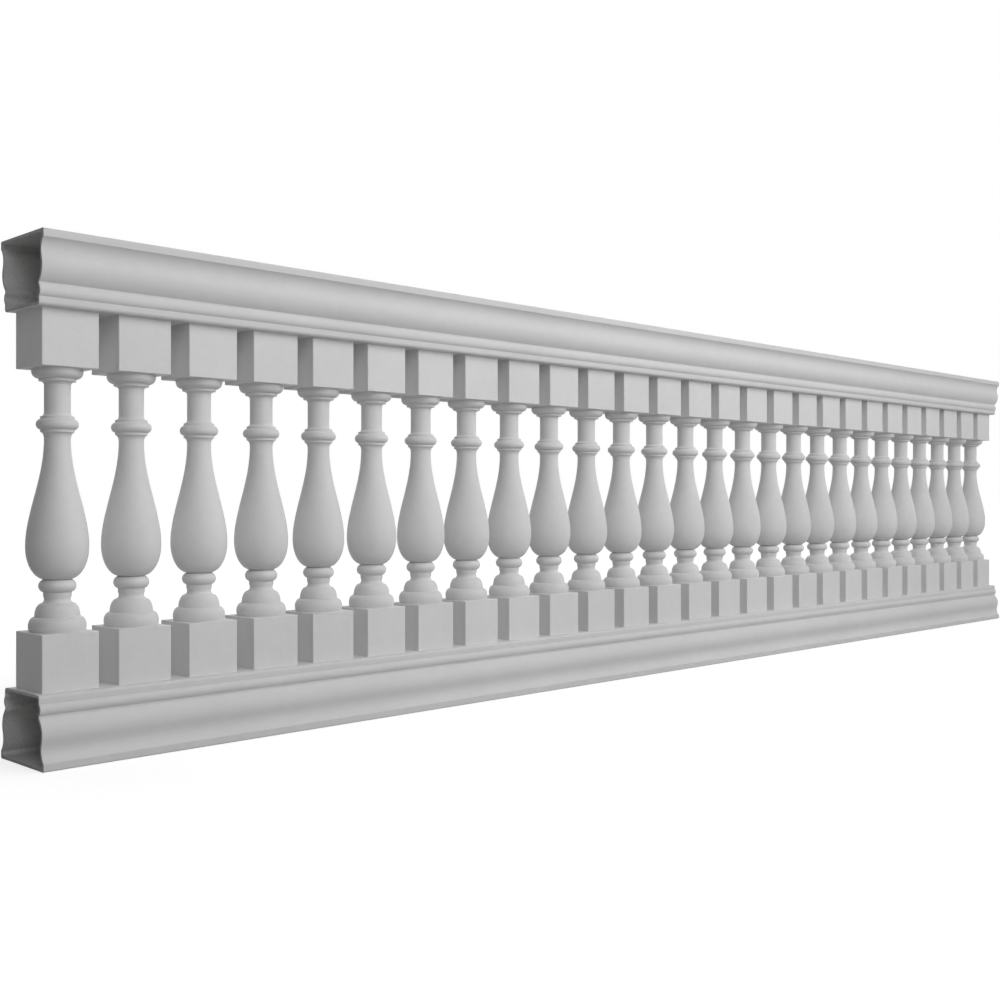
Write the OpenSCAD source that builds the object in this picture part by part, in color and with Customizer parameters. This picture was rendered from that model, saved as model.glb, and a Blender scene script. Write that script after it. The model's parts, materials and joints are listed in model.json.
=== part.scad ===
// Fiberglass balustrade: a hollow moulded top rail, the same moulding turned over as the
// bottom rail, and a row of vase-shaped balusters that stand between the two.
// X runs along the balustrade, Y is its depth and Z is up. The origin is the middle of the
// underside, so the part stands on the plane Z = 0. The two long sides are alike.
// A moulding's members are measured from one to the next: "in" and "out" say how far a member
// lies inside or outside the one before it.

/* [Row] */
// Number of balusters in the row
baluster_count = 27; // [3:1:40]
// Clear gap between the square blocks of neighbouring balusters
block_gap = 37.5; // [20:0.5:80]
// Rail left beyond the outer face of each end block
rail_overhang = 12; // [4:1:80]

/* [Rail] */
// Height of a rail from its wide face to its narrow face
rail_h = 127; // [105:1:180]
// Thickness of the fiberglass wall, the same all round
rail_wall = 5; // [3:0.5:7]
// Radius of the two corners inside the rail, beside the wide face
rail_inner_r = 8; // [1:0.5:10]
// How far the narrow face reaches beyond the blocks, on each long side
rail_margin = 16.2; // [9:0.1:40]
// Radius that eases the arris of the narrow face
foot_edge_r = 6; // [2:0.5:9]
// Radius that eases the arris of the wide face
fascia_edge_r = 3; // [1:0.5:6]

/* [Rail moulding, from the narrow face to the wide one] */
// Height of the foot, the plain band beside the narrow face
foot_h = 14.5; // [10:0.5:20]
// How far the foot stands out from the quirk, the narrow groove between bead and roll
foot_out = 0.6; // [0:0.1:4]
// Height of the bead between the foot and the quirk
bead_h = 20; // [16:0.5:24]
// How far the bead stands out from the quirk
bead_out = 4.6; // [2:0.1:7]
// Height of the quirk
quirk_h = 4; // [2:0.5:8]
// How far the crest of the roll stands out from the quirk
crest_out = 12.4; // [8:0.1:16]
// Height of the swelling from the crest of the roll to the hollow
swell_h = 25; // [18:0.5:30]
// How far the hollow lies in from the crest
hollow_in = 4.3; // [1:0.1:8]
// Height of the cove from the hollow to the fascia
cove_h = 21; // [16:0.5:26]
// How far the fascia, the plain band beside the wide face, stands out from the hollow
fascia_out = 9.3; // [6:0.1:14]
// Height of the fascia
fascia_h = 14; // [8:0.5:20]
// Angle that the roll and the cove turn through, from upright
moulding_turn = 47; // [35:1:80]

/* [Baluster blocks] */
// Height of a baluster from rail to rail
baluster_h = 660; // [540:5:900]
// Side of the square blocks
block_w = 104; // [84:1:130]
// Height of each square block
block_h = 100; // [60:1:130]
// Radius that eases the arrises of the blocks
block_edge_r = 2; // [1:0.5:4]

/* [Baluster foot, from the bottom block up] */
// How far the base ring lies inside the faces of the block
base_ring_in = 3; // [1:0.2:8]
// Height of the base ring
base_ring_h = 25.6; // [20:0.2:32]
// Height above the block at which the base ring is widest
base_ring_widest = 9.6; // [6:0.2:10]
// How far the foot of the bell-shaped shoulder lies inside the base ring
shoulder_in = 10.4; // [7:0.2:13]
// Height of the shoulder
shoulder_h = 24; // [18:0.2:30]
// Diameter of the waist at its narrowest
waist_d = 44.8; // [37:0.2:52]
// How far the top of the shoulder stands out from the waist
waist_lip = 3.4; // [1:0.2:5]
// Height of the waist's hollow
waist_h = 13; // [9:0.2:17]
// How far the fillet between the waist and the lower ring stands out from the waist
waist_fillet_out = 1.6; // [1:0.2:4]
// Height of that fillet
waist_fillet_h = 5.6; // [2:0.2:8]
// How far the lower ring stands out from that fillet
lower_ring_out = 8; // [4:0.2:10]
// Height of the lower ring
lower_ring_h = 22.6; // [20:0.2:30]

/* [Baluster vase] */
// Diameter of the groove between the lower ring and the vase
groove_d = 41.4; // [34:0.2:47]
// How far the belly of the vase bulges beyond the faces of the blocks
belly_out = 1.5; // [-8:0.5:8]
// Height from the groove up to the belly
belly_rise = 57.8; // [45:0.2:75]
// How long the taper keeps the belly's width: 0.1 leaves it soonest and 0.6 keeps it longest
belly_hold = 0.31; // [0.1:0.01:0.6]
// How long the taper keeps the neck's width below the collar, on the same scale
neck_hold = 0.38; // [0.1:0.01:0.6]

/* [Baluster collar, neck and cap, up to the top block] */
// Diameter of the neck, and of the top of the vase
neck_d = 44.8; // [37:0.2:54]
// Height of the flare that runs from the vase out to the collar
flare_h = 11.6; // [6:0.2:16]
// How far the two fillets that edge the collar stand out from the neck
collar_fillet_out = 6.4; // [4:0.2:9]
// Height of each of these fillets
collar_fillet_h = 4.2; // [2:0.2:6]
// How far the round of the collar stands out from its fillets
collar_out = 7.2; // [3:0.2:9]
// Height of the collar between its fillets
collar_h = 19; // [18:0.2:26]
// Height of the cove that runs from the collar in to the neck
collar_cove_h = 6.8; // [4:0.2:9]
// Length of the straight neck
neck_h = 48.6; // [30:0.2:80]
// Height of the cove that runs from the neck out to the fillet under the cap ring
cap_cove_h = 6.6; // [4:0.2:9]
// How far that fillet stands out from the neck
cap_fillet_out = 9; // [5:0.2:12]
// Height of that fillet
cap_fillet_h = 4.4; // [2:0.2:8]
// How far the cap ring lies inside the faces of the top block
cap_ring_in = 8.4; // [4:0.2:9]
// Height of the cap ring
cap_ring_h = 17.2; // [14:0.2:24]
// Height of the round on the underside of the cap ring
cap_round_h = 12.4; // [8:0.2:13]

/* [Hidden] */
function numbered(i) = str("baluster_", i < 10 ? "0" : "", i);
fiberglass = [0.80, 0.80, 0.79];

// Number of flats along an eased arris, a small cove, a moulding and the long taper
edge_n = 4;
cove_n = 6;
round_n = 10;
taper_n = 20;
// Number of flats round a turned shape
$fn = 96;

pitch = block_w + block_gap;
row_l = (baluster_count - 1) * pitch + block_w;
rail_l = row_l + 2 * rail_overhang;
overall_h = 2 * rail_h + baluster_h;

// Rail members, as half widths and as distances from the wide face
foot_x = block_w / 2 + rail_margin;
quirk_x = foot_x - foot_out;
bead_x = quirk_x + bead_out;
crest_x = quirk_x + crest_out;
hollow_x = crest_x - hollow_in;
fascia_x = hollow_x + fascia_out;
hollow_y = fascia_h + cove_h;
crest_y = hollow_y + swell_h;
foot_y = rail_h - foot_h;
bead_y = foot_y - bead_h;
quirk_y = bead_y - quirk_h;

// Baluster members, as radii and as heights above the baluster's foot
base_ring_r = block_w / 2 - base_ring_in;
shoulder_r = base_ring_r - shoulder_in;
waist_r = waist_d / 2;
waist_lip_r = waist_r + waist_lip;
waist_fillet_r = waist_r + waist_fillet_out;
lower_ring_r = waist_fillet_r + lower_ring_out;
groove_r = groove_d / 2;
belly_r = block_w / 2 + belly_out;
neck_r = neck_d / 2;
collar_fillet_r = neck_r + collar_fillet_out;
collar_r = collar_fillet_r + collar_out;
cap_fillet_r = neck_r + cap_fillet_out;
cap_ring_r = block_w / 2 - cap_ring_in;
shoulder_z = block_h + base_ring_h;
waist_z = shoulder_z + shoulder_h;
lower_ring_z = waist_z + waist_h + waist_fillet_h;
groove_z = lower_ring_z + lower_ring_h;
belly_z = groove_z + belly_rise;
turned_top = baluster_h - block_h;
cap_z = turned_top - cap_ring_h;
neck_top = cap_z - cap_fillet_h - cap_cove_h;
neck_z = neck_top - neck_h;
collar_z = neck_z - collar_cove_h - collar_fillet_h - collar_h;
vase_top = collar_z - collar_fillet_h - flare_h;

// Points along an elliptical arc with the semi-axes r = [rx, ry], from angle a0 to a1
function arc(centre, r, a0, a1, n) =
    [for (i = [0:n]) let (a = a0 + (a1 - a0) * i / n)
        centre + [r[0] * cos(a), r[1] * sin(a)]];

// Points of the quarter circle that eases a corner, from angle a on
function ease(centre, r, a, n = edge_n) = arc(centre, [r, r], a, a + 90, n);

// Semi-axes of an elliptical arc that turns from upright while it runs w across and h along
function axes(w, h, turn) = [w / (1 - cos(turn)), h / sin(turn)];

// Points of a round that bulges from the radius r_in to r_out over the height h above z
function bulge(r_in, r_out, z, h) =
    let (rise = r_out - r_in, r = (h * h / 4 + rise * rise) / (2 * rise), a = asin(h / 2 / r))
        arc([r_out - r, z + h / 2], [r, r], -a, a, round_n);

// Points of a hollow that dips from the radius r0 to r_in and back out to r1
function dip(r0, r_in, r1, z, h) =
    [for (i = [0:cove_n]) let (t = i / cove_n, edge = r0 + (r1 - r0) * t)
        [edge - (edge - r_in) * sin(180 * t), z + h * t]];

// Points of a gentle S between two points, upright at both ends
function swell(p0, p1) =
    [for (i = [0:round_n]) let (t = i / round_n, s = (1 - cos(180 * t)) / 2)
        [p0[0] + (p1[0] - p0[0]) * s, p0[1] + (p1[1] - p0[1]) * t]];

// Points along a cubic curve with the handles p1 and p2
function curve(p0, p1, p2, p3) =
    [for (i = [0:taper_n]) let (t = i / taper_n, u = 1 - t)
        p0 * u * u * u + 3 * p1 * u * u * t + 3 * p2 * u * t * t + p3 * t * t * t];

// The fascia's eased arris and the cove between the fascia and the hollow
function fascia_and_cove() =
    let (r = axes(fascia_out, cove_h, moulding_turn))
    concat(
        ease([fascia_x, 0] + fascia_edge_r * [-1, 1], fascia_edge_r, -90),
        arc([hollow_x + r[0], hollow_y], r, 180 + moulding_turn, 180, round_n));

// The roll swells out of the hollow and turns in to the quirk
function roll() =
    let (r = axes(crest_out, quirk_y - crest_y, moulding_turn))
    concat(
        swell([hollow_x, hollow_y], [crest_x, crest_y]),
        arc([crest_x - r[0], crest_y], r, 0, moulding_turn, round_n));

// The bead, the foot and the eased arris of the narrow face
function bead_and_foot() = concat(
    bulge(quirk_x, bead_x, bead_y, bead_h),
    [[foot_x, foot_y]],
    ease([foot_x, rail_h] - foot_edge_r * [1, 1], foot_edge_r, 0));

// The shape that has the points of side on its right and their mirror image on its left
module both_sides(side) {
    last = len(side) - 1;
    polygon(concat(side, [for (i = [0:last]) [-side[last - i][0], side[last - i][1]]]));
}

// The outline of a rail, wide face at y = 0
module rail_outline() {
    both_sides(concat(fascia_and_cove(), roll(), bead_and_foot()));
}

// The space inside a rail: the wall is even, and the corners beside the wide face are rounded
module rail_hollow() {
    inset = rail_wall + rail_inner_r;
    corner = ease([fascia_x - inset, inset], rail_inner_r, -90, cove_n);
    intersection() {
        offset(r = -rail_wall, $fn = 4 * edge_n) rail_outline();
        both_sides(concat(corner, [[fascia_x, rail_h]]));
    }
}

// A rail along X, open at both ends, with its wide face on Z = 0
module rail() {
    rotate([90, 0, 90])
        linear_extrude(rail_l, center = true)
            difference() {
                rail_outline();
                rail_hollow();
            }
}

module bottom_rail() {
    color(fiberglass) rail();
}

module top_rail() {
    color(fiberglass) translate([0, 0, overall_h]) mirror([0, 0, 1]) rail();
}

// The base ring is widest below its middle, and the bell-shaped shoulder stands on it
function base_ring_and_shoulder() =
    let (rise = base_ring_h - base_ring_widest)
    concat(
        arc([shoulder_r, block_h + base_ring_widest], [shoulder_in, rise],
            -asin(base_ring_widest / rise), 90, round_n),
        arc([waist_lip_r, shoulder_z], [shoulder_r - waist_lip_r, shoulder_h], 0, 90, round_n));

// The waist's hollow ends in a fillet, on which the lower ring sits
function waist_and_lower_ring() = concat(
    dip(waist_lip_r, waist_r, waist_fillet_r, waist_z, waist_h),
    bulge(waist_fillet_r, lower_ring_r, lower_ring_z, lower_ring_h));

// The vase: a round underside from the groove up to the belly, then a long taper
function vase() =
    let (taper_h = vase_top - belly_z)
    concat(
        arc([groove_r, belly_z], [belly_r - groove_r, belly_rise], -90, 0, round_n),
        curve([belly_r, belly_z], [belly_r, belly_z + belly_hold * taper_h],
              [neck_r, vase_top - neck_hold * taper_h], [neck_r, vase_top]));

// A flare runs out to a fillet, then the round collar, a fillet and a cove in to the neck
function collar() = concat(
    arc([collar_fillet_r, vase_top], [collar_fillet_out, flare_h], 180, 90, cove_n),
    bulge(collar_fillet_r, collar_r, collar_z, collar_h),
    arc([collar_fillet_r, neck_z], [collar_fillet_out, collar_cove_h], 270, 180, cove_n));

// The neck ends in a cove, a fillet and the round under the cap ring
function cap() = concat(
    arc([cap_fillet_r, neck_top], [cap_fillet_out, cap_cove_h], 180, 90, cove_n),
    arc([cap_fillet_r, cap_z + cap_round_h], [cap_ring_r - cap_fillet_r, cap_round_h],
        -90, 0, round_n),
    [[cap_ring_r, turned_top]]);

// The turned part of a baluster: radius against height above the baluster's foot
function turning() = concat(
    [[0, block_h]],
    base_ring_and_shoulder(),
    waist_and_lower_ring(),
    vase(),
    collar(),
    cap(),
    [[0, turned_top]]);

// A point turned about the origin by the angle a
function turned(p, a) = [p[0] * cos(a) - p[1] * sin(a), p[0] * sin(a) + p[1] * cos(a)];

// Plan of a block, with its four upright arrises eased
module block_plan() {
    flat = block_w / 2 - block_edge_r;
    polygon([for (a = [0:90:270], p = ease([flat, flat], block_edge_r, 0)) turned(p, a)]);
}

// Side view of a block: square where it meets the rail, eased where the turning starts
module block_side() {
    flat = block_w / 2 - block_edge_r;
    top = block_h - block_edge_r;
    polygon(concat(
        [[-block_w / 2, 0], [block_w / 2, 0]],
        ease([flat, top], block_edge_r, 0),
        ease([-flat, top], block_edge_r, 90)));
}

// A square block standing on Z = 0
module block() {
    intersection() {
        linear_extrude(block_h) block_plan();
        rotate([90, 0, 0]) linear_extrude(block_w, center = true) block_side();
        rotate([90, 0, 90]) linear_extrude(block_w, center = true) block_side();
    }
}

// One baluster, moulded in one piece, standing on Z = 0
module baluster() {
    block();
    rotate_extrude() polygon(turning());
    translate([0, 0, baluster_h]) mirror([0, 0, 1]) block();
}

module placed_baluster(i) {
    x = (i - (baluster_count + 1) / 2) * pitch;
    color(fiberglass) translate([x, 0, rail_h]) baluster();
}

bottom_rail();
top_rail();
for (i = [1:baluster_count])
    placed_baluster(i);
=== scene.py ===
"""Fiberglass balustrade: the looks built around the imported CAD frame. Metres, +X along the run, +Z up."""

import json
import math

import bpy
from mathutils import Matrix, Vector

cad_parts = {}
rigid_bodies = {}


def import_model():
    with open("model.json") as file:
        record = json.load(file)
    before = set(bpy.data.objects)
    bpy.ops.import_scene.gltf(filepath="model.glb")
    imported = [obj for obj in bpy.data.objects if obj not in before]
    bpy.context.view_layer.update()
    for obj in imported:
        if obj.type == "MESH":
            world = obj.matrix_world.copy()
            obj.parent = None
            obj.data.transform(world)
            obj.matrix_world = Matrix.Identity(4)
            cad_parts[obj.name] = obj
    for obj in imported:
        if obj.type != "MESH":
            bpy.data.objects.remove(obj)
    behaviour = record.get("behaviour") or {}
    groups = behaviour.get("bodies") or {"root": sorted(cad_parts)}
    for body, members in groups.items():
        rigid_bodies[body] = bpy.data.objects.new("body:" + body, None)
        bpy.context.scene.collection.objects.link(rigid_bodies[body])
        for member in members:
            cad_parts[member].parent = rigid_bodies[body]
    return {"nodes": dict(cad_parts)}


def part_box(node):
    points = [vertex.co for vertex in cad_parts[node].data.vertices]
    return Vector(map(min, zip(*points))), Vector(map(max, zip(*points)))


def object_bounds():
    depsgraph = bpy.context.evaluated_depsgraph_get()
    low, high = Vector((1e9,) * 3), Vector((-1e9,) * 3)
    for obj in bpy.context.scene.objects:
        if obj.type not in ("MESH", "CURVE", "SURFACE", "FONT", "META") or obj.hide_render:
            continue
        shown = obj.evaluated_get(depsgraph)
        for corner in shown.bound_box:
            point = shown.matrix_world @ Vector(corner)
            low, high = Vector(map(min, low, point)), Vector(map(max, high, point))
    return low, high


# What the start-up file holds isn't part of this scene
for leftover in list(bpy.data.objects):
    bpy.data.objects.remove(leftover)

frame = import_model()
cad_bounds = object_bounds()
low, high = (Vector(corner) for corner in cad_bounds)
centre = (low + high) / 2

RAILS = ("bottom_rail", "top_rail")
BALUSTERS = tuple(sorted(name for name in frame["nodes"] if name.startswith("baluster_")))

# Camera: eye level at half the height, off the near left corner, looking along the run
EYE_BEYOND_END = 0.9158
EYE_IN_FRONT = 1.9952
LOOK_AZIMUTH_DEG = 45.01
LENS_MM = 44.28
SENSOR_MM = 36.0
VIEW_REACH = 200.0

# Softboxes: name, position in metres, side in metres, power in watts. Each faces the middle of the object.
SOFTBOXES = (
    ("key", (-0.1, -3.5, 2.6), 3.5, 70.0),
    ("high", (0.0, -2.0, 3.0), 1.0, 12.0),
    ("high_left", (-3.0, -3.0, 3.0), 1.5, 20.0),
    ("fill_left", (-3.0, -4.0, 2.0), 2.0, 19.0),
    ("fill_right", (4.0, -4.0, 2.0), 2.0, 55.0),
    ("far_left", (-12.0, -12.0, 2.0), 6.0, 117.0),
)
# The world's light comes from behind the object and fades with the angle away from this direction
BACKDROP_LIGHT = 1.70
BACKDROP_AXIS = (0.7071, 0.7071, 0.0)

# Floor: its colour, how far it reaches and how far it lies below the object
FLOOR_WHITE = (0.40, 0.40, 0.40)
FLOOR_REACH = 60.0
FLOOR_DROP = 0.0005
# Its whiteness to the eye rises from near to far, over an oval that is drawn out along the run
# The dimmer glow near the object is painted shade, which deepens the object's real shadow there
FLOOR_GLOW_NEAR = 0.76
FLOOR_GLOW_FAR = 0.89
GLOW_RISES = (0.7, 2.2)
GLOW_SQUEEZE = (0.33, 1.0, 0.0)

# Colours, linear
RAIL_GELCOAT = (0.655, 0.655, 0.655)
BALUSTER_GELCOAT = (0.70, 0.70, 0.70)
LAMINATE = (0.66, 0.66, 0.655)
CUT_EDGE = (0.53, 0.53, 0.525)

# The middle range of a noise's values, which a pattern spreads over its own range
NOISE_MIDDLE = (0.3, 0.7)

# Gelcoat: each pattern's scale in features a metre, and the range of tone or roughness it covers
CLOUD_SCALE, CLOUD_TONES = 3.5, (0.975, 1.02)
MOTTLE_SCALE, MOTTLE_TONES = 45.0, (0.982, 1.014)
MOULDING_TONES = (0.985, 1.015)
SHEEN_SCALE, SHEEN_ROUGHNESS = 9.0, (0.52, 0.66)
GELCOAT_SPECULAR = 0.3
# Its bumps: scale, strength, and depth in metres
PRINT_SCALE, PRINT_STRENGTH, PRINT_DEPTH = 60.0, 0.3, 0.001
PEEL_SCALE, PEEL_STRENGTH, PEEL_DEPTH = 400.0, 0.25, 0.0004

# Laminate: the directions and size of its chopped strands, and the tones from the resin to the strands
STRAND_TURNS_DEG = (8.0, 41.0, 77.0, 118.0, 153.0)
STRAND_LENGTH = 0.05
STRAND_WIDTH = 0.0016
STRAND_SHOWS, STRAND_TONES = (0.5, 0.8), (0.84, 1.1)
RESIN_SCALE, RESIN_TONES = 12.0, (0.95, 1.04)
STRAND_STRENGTH, STRAND_DEPTH = 0.8, 0.002
LAMINATE_ROUGHNESS = 0.8
LAMINATE_SPECULAR = 0.2

# Smoothing: facets meet in one curve below this turn, and points this close are one
CREASE_DEG = 28.0
WELD = 1e-5

# A rail's material slots, and how nearly along X the normal of its cut ends lies
SKIN, INSIDE, CUT = range(3)
END_FACING = 0.99


# ---------------------------------------------------------------- node helpers

def node_adder(tree):
    """A function that adds a node to tree, with its sockets linked or set and its settings made"""
    def add(kind, inputs=None, **settings):
        node = tree.nodes.new(kind)
        for key, value in settings.items():
            setattr(node, key, value)
        for key, value in (inputs or {}).items():
            if isinstance(value, bpy.types.NodeSocket):
                tree.links.new(value, node.inputs[key])
            else:
                node.inputs[key].default_value = value
        return node

    return add


def new_material(name):
    material = bpy.data.materials.new(name)
    material.use_nodes = True
    material.node_tree.nodes.clear()
    return material, node_adder(material.node_tree)


def product(add, *values):
    total = values[0]
    for value in values[1:]:
        total = add("ShaderNodeMath", {0: total, 1: value}, operation="MULTIPLY").outputs[0]
    return total


def remap(add, value, source, target, **settings):
    """value, taken from the range source to the range target"""
    ends = {"From Min": source[0], "From Max": source[1], "To Min": target[0], "To Max": target[1]}
    return add("ShaderNodeMapRange", {"Value": value, **ends}, **settings).outputs["Result"]


def noise(add, place, scale, **sockets):
    return add("ShaderNodeTexNoise", {"Vector": place, "Scale": scale, **sockets}).outputs["Fac"]


def pattern(add, place, scale, target, detail):
    """A noise whose middle range is spread over the range target"""
    return remap(add, noise(add, place, scale, Detail=detail), NOISE_MIDDLE, target)


def tinted(add, colour, tone):
    return add("ShaderNodeVectorMath", {0: colour, "Scale": tone}, operation="SCALE").outputs["Vector"]


def seen_directly(add):
    """1 for what the camera sees straight, mirrored or through glass, 0 for light on its way"""
    rays = add("ShaderNodeLightPath").outputs
    seen = rays["Is Camera Ray"]
    for ray in ("Is Glossy Ray", "Is Transmission Ray"):
        seen = add("ShaderNodeMath", {0: seen, 1: rays[ray]}, operation="MAXIMUM").outputs[0]
    return seen


# ---------------------------------------------------------------- materials

def moulding_tone(add, place, pitch):
    """A tone that is the same all over one moulding and differs from each moulding to the next along X"""
    along = add("ShaderNodeSeparateXYZ", {0: place}).outputs["X"]
    count = add("ShaderNodeMath", {0: along, 1: 1 / pitch, 2: 0.5}, operation="MULTIPLY_ADD").outputs[0]
    number = add("ShaderNodeMath", {0: count}, operation="FLOOR").outputs[0]
    own = add("ShaderNodeTexWhiteNoise", {"W": number}, noise_dimensions="1D").outputs["Value"]
    return remap(add, own, (0.0, 1.0), MOULDING_TONES)


def gelcoat(name, colour, pitch=None):
    """Satin gelcoat: clouds in its tone and sheen, the faint print of the strands below and a fine orange peel.
    With a pitch, each moulding along X gets a tone of its own."""
    material, add = new_material(name)
    place = add("ShaderNodeTexCoord").outputs["Object"]
    tone = product(add, pattern(add, place, CLOUD_SCALE, CLOUD_TONES, detail=4.0),
                   pattern(add, place, MOTTLE_SCALE, MOTTLE_TONES, detail=5.0))
    if pitch:
        tone = product(add, tone, moulding_tone(add, place, pitch))
    print_through = noise(add, place, PRINT_SCALE, Detail=2.0, Distortion=1.0)
    waves = add("ShaderNodeBump", {"Height": print_through, "Strength": PRINT_STRENGTH,
                                   "Distance": PRINT_DEPTH})
    orange_peel = noise(add, place, PEEL_SCALE, Detail=2.0)
    peel = add("ShaderNodeBump", {"Height": orange_peel, "Strength": PEEL_STRENGTH,
                                  "Distance": PEEL_DEPTH, "Normal": waves.outputs["Normal"]})
    shader = add("ShaderNodeBsdfPrincipled", {
        "Base Color": tinted(add, colour, tone),
        "Roughness": pattern(add, place, SHEEN_SCALE, SHEEN_ROUGHNESS, detail=5.0),
        "Specular IOR Level": GELCOAT_SPECULAR,
        "Normal": peel.outputs["Normal"]})
    add("ShaderNodeOutputMaterial", {"Surface": shader.outputs["BSDF"]})
    return material


def strand_layer(add, flat_place, turn_deg):
    """One direction of chopped strands on a surface laid flat"""
    turned = add("ShaderNodeVectorRotate", {"Vector": flat_place, "Angle": math.radians(turn_deg)},
                 rotation_type="Z_AXIS").outputs[0]
    drawn_out = add("ShaderNodeVectorMath", {0: turned, 1: (1 / STRAND_LENGTH, 1 / STRAND_WIDTH, 1)},
                    operation="MULTIPLY").outputs[0]
    return noise(add, drawn_out, 1.0, Detail=1.0)


def laminate(name, colour):
    """Bare laminate: matt resin over a mat of chopped strands that lie in every direction"""
    material, add = new_material(name)
    place = add("ShaderNodeTexCoord").outputs["Object"]
    parts = add("ShaderNodeSeparateXYZ", {0: place}).outputs
    across = add("ShaderNodeMath", {0: parts["Y"], 1: parts["Z"]}, operation="ADD").outputs[0]
    flat_place = add("ShaderNodeCombineXYZ", {"X": parts["X"], "Y": across}).outputs[0]
    layers = [strand_layer(add, flat_place, turn_deg) for turn_deg in STRAND_TURNS_DEG]
    mat = layers[0]
    for layer in layers[1:]:
        mat = add("ShaderNodeMath", {0: mat, 1: layer}, operation="MAXIMUM").outputs[0]
    tone = product(add, remap(add, mat, STRAND_SHOWS, STRAND_TONES),
                   pattern(add, place, RESIN_SCALE, RESIN_TONES, detail=4.0))
    bump = add("ShaderNodeBump", {"Height": mat, "Strength": STRAND_STRENGTH, "Distance": STRAND_DEPTH})
    shader = add("ShaderNodeBsdfPrincipled", {
        "Base Color": tinted(add, colour, tone),
        "Roughness": LAMINATE_ROUGHNESS,
        "Specular IOR Level": LAMINATE_SPECULAR,
        "Normal": bump.outputs["Normal"]})
    add("ShaderNodeOutputMaterial", {"Surface": shader.outputs["BSDF"]})
    return material


def floor_white(name):
    """A plain pale floor that is white to the eye. It is a little less so around the object, a painted shade
    that deepens the object's real shadow there."""
    material, add = new_material(name)
    matte = add("ShaderNodeBsdfDiffuse", {"Color": (*FLOOR_WHITE, 1.0)})
    place = add("ShaderNodeTexCoord").outputs["Object"]
    squeezed = add("ShaderNodeVectorMath", {0: place, 1: GLOW_SQUEEZE}, operation="MULTIPLY").outputs[0]
    away = add("ShaderNodeVectorMath", {0: squeezed}, operation="LENGTH").outputs["Value"]
    # A dimmer glow near the object: painted shade over the object's real shadow
    glow = remap(add, away, GLOW_RISES, (FLOOR_GLOW_NEAR, FLOOR_GLOW_FAR), interpolation_type="SMOOTHSTEP")
    light = add("ShaderNodeEmission", {"Strength": product(add, seen_directly(add), glow)})
    both = add("ShaderNodeAddShader", {0: matte.outputs[0], 1: light.outputs[0]})
    add("ShaderNodeOutputMaterial", {"Surface": both.outputs[0]})
    return material


# ---------------------------------------------------------------- the CAD nodes

def pitch_of(balusters):
    """The spacing of the balusters, from the middle of one to the middle of the next"""
    first, second = (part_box(name) for name in balusters[:2])
    return second[0].x - first[0].x


def dress_rail(name, skin, inside, cut):
    """Gelcoat outside, laminate inside and on the cut ends"""
    rail = frame["nodes"][name]
    lowest, highest = (Vector(corner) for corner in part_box(name))
    axis = (lowest + highest) / 2
    rail.data.materials.clear()
    for material in (skin, inside, cut):
        rail.data.materials.append(material)
    for face in rail.data.polygons:
        outward = face.center - axis
        outward.x = 0
        if abs(face.normal.x) > END_FACING:
            face.material_index = CUT
        elif face.normal.dot(outward) < 0:
            face.material_index = INSIDE
        else:
            face.material_index = SKIN


def smoother(name):
    """Geometry nodes that join the facets of a curved surface and keep an edge only where it turns sharply"""
    tree = bpy.data.node_groups.new(name, "GeometryNodeTree")
    tree.interface.new_socket("Geometry", in_out="INPUT", socket_type="NodeSocketGeometry")
    tree.interface.new_socket("Geometry", in_out="OUTPUT", socket_type="NodeSocketGeometry")
    add = node_adder(tree)
    facets = add("NodeGroupInput").outputs[0]
    joined = add("GeometryNodeMergeByDistance", {"Geometry": facets, "Distance": WELD})
    turn = add("GeometryNodeInputMeshEdgeAngle").outputs["Unsigned Angle"]
    crease = add("FunctionNodeCompare", {0: turn, 1: math.radians(CREASE_DEG)}, operation="GREATER_THAN")
    shaded = add("GeometryNodeSetMeshNormal", {"Mesh": joined.outputs[0], "Remove Custom": True,
                                               "Edge Sharpness": crease.outputs[0]}, mode="SHARPNESS")
    add("NodeGroupOutput", {0: shaded.outputs[0]})
    return tree


def smooth(node, tree):
    """The facets of a curve shade as one surface, and the flat faces stay flat up to their eased edges"""
    node.modifiers.new("smooth_facets", "NODES").node_group = tree
    node.modifiers.new("keep_flats", "WEIGHTED_NORMAL").keep_sharp = True


# ---------------------------------------------------------------- stage, lamps, camera

def add_object(name, data):
    thing = bpy.data.objects.new(name, data)
    bpy.context.collection.objects.link(thing)
    return thing


def add_floor():
    mesh = bpy.data.meshes.new("floor")
    corners = [(x * FLOOR_REACH, y * FLOOR_REACH, 0) for x, y in ((-1, -1), (1, -1), (1, 1), (-1, 1))]
    mesh.from_pydata(corners, [], [(0, 1, 2, 3)])
    mesh.materials.append(floor_white("floor_white"))
    floor = add_object("floor", mesh)
    floor.location.z = low.z - FLOOR_DROP


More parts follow.
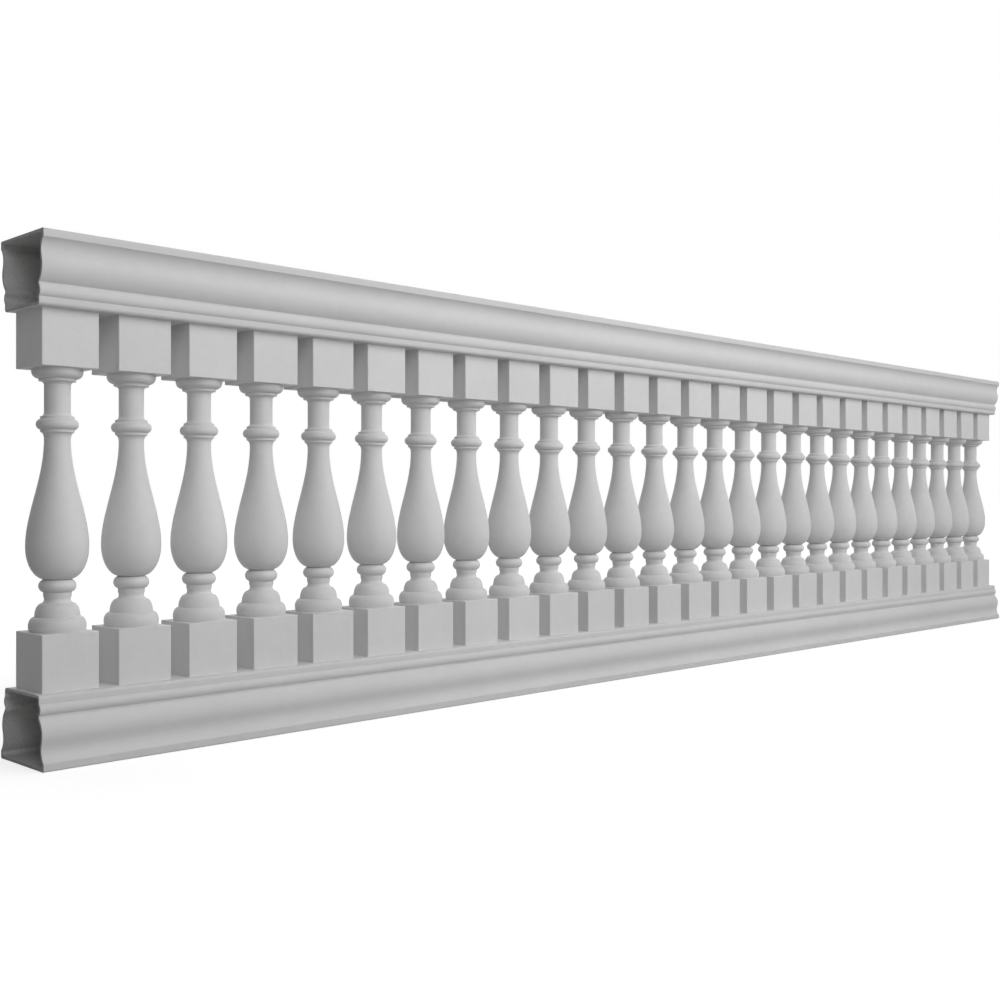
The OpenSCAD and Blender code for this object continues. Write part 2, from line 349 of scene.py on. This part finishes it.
def add_softbox(name, place, side, power):
    data = bpy.data.lights.new(name, "AREA")
    data.shape = "SQUARE"
    data.size = side
    data.energy = power
    lamp = add_object(name, data)
    lamp.location = place
    lamp.rotation_euler = (Vector(place) - centre).to_track_quat("Z", "Y").to_euler()


def add_backdrop():
    """A world that is white to the eye and lights the object softly from behind"""
    world = bpy.data.worlds.new("studio")
    bpy.context.scene.world = world
    world.use_nodes = True
    world.node_tree.nodes.clear()
    add = node_adder(world.node_tree)
    direction = add("ShaderNodeTexCoord").outputs["Generated"]
    along = add("ShaderNodeVectorMath", {0: direction, 1: BACKDROP_AXIS}, operation="DOT_PRODUCT")
    behind = add("ShaderNodeMath", {0: along.outputs["Value"], 1: 0.0}, operation="MAXIMUM")
    light = add("ShaderNodeBackground", {"Color": behind.outputs[0], "Strength": BACKDROP_LIGHT})
    white = add("ShaderNodeBackground", {"Color": (1, 1, 1, 1), "Strength": 1.0})
    mix = add("ShaderNodeMixShader", {0: seen_directly(add), 1: light.outputs[0], 2: white.outputs[0]})
    add("ShaderNodeOutputWorld", {"Surface": mix.outputs[0]})


def add_camera():
    data = bpy.data.cameras.new("camera")
    data.lens = LENS_MM
    data.sensor_width = SENSOR_MM
    data.clip_end = VIEW_REACH
    camera = add_object("camera", data)
    camera.location = (low.x - EYE_BEYOND_END, low.y - EYE_IN_FRONT, centre.z)
    camera.rotation_euler = (math.radians(90), 0, -math.radians(LOOK_AZIMUTH_DEG))
    bpy.context.scene.camera = camera


# ---------------------------------------------------------------- the scene

rail_skin = gelcoat("rail_gelcoat", RAIL_GELCOAT)
baluster_skin = gelcoat("baluster_gelcoat", BALUSTER_GELCOAT, pitch_of(BALUSTERS))
inside = laminate("laminate", LAMINATE)
cut = laminate("cut_edge", CUT_EDGE)
for name in RAILS:
    dress_rail(name, rail_skin, inside, cut)
for name in BALUSTERS:
    frame["nodes"][name].data.materials[0] = baluster_skin
facet_tree = smoother("smooth_facets")
for name in RAILS + BALUSTERS:
    smooth(frame["nodes"][name], facet_tree)

add_floor()
for softbox in SOFTBOXES:
    add_softbox(*softbox)
add_backdrop()
add_camera()
bpy.context.scene.view_settings.view_transform = "Standard"
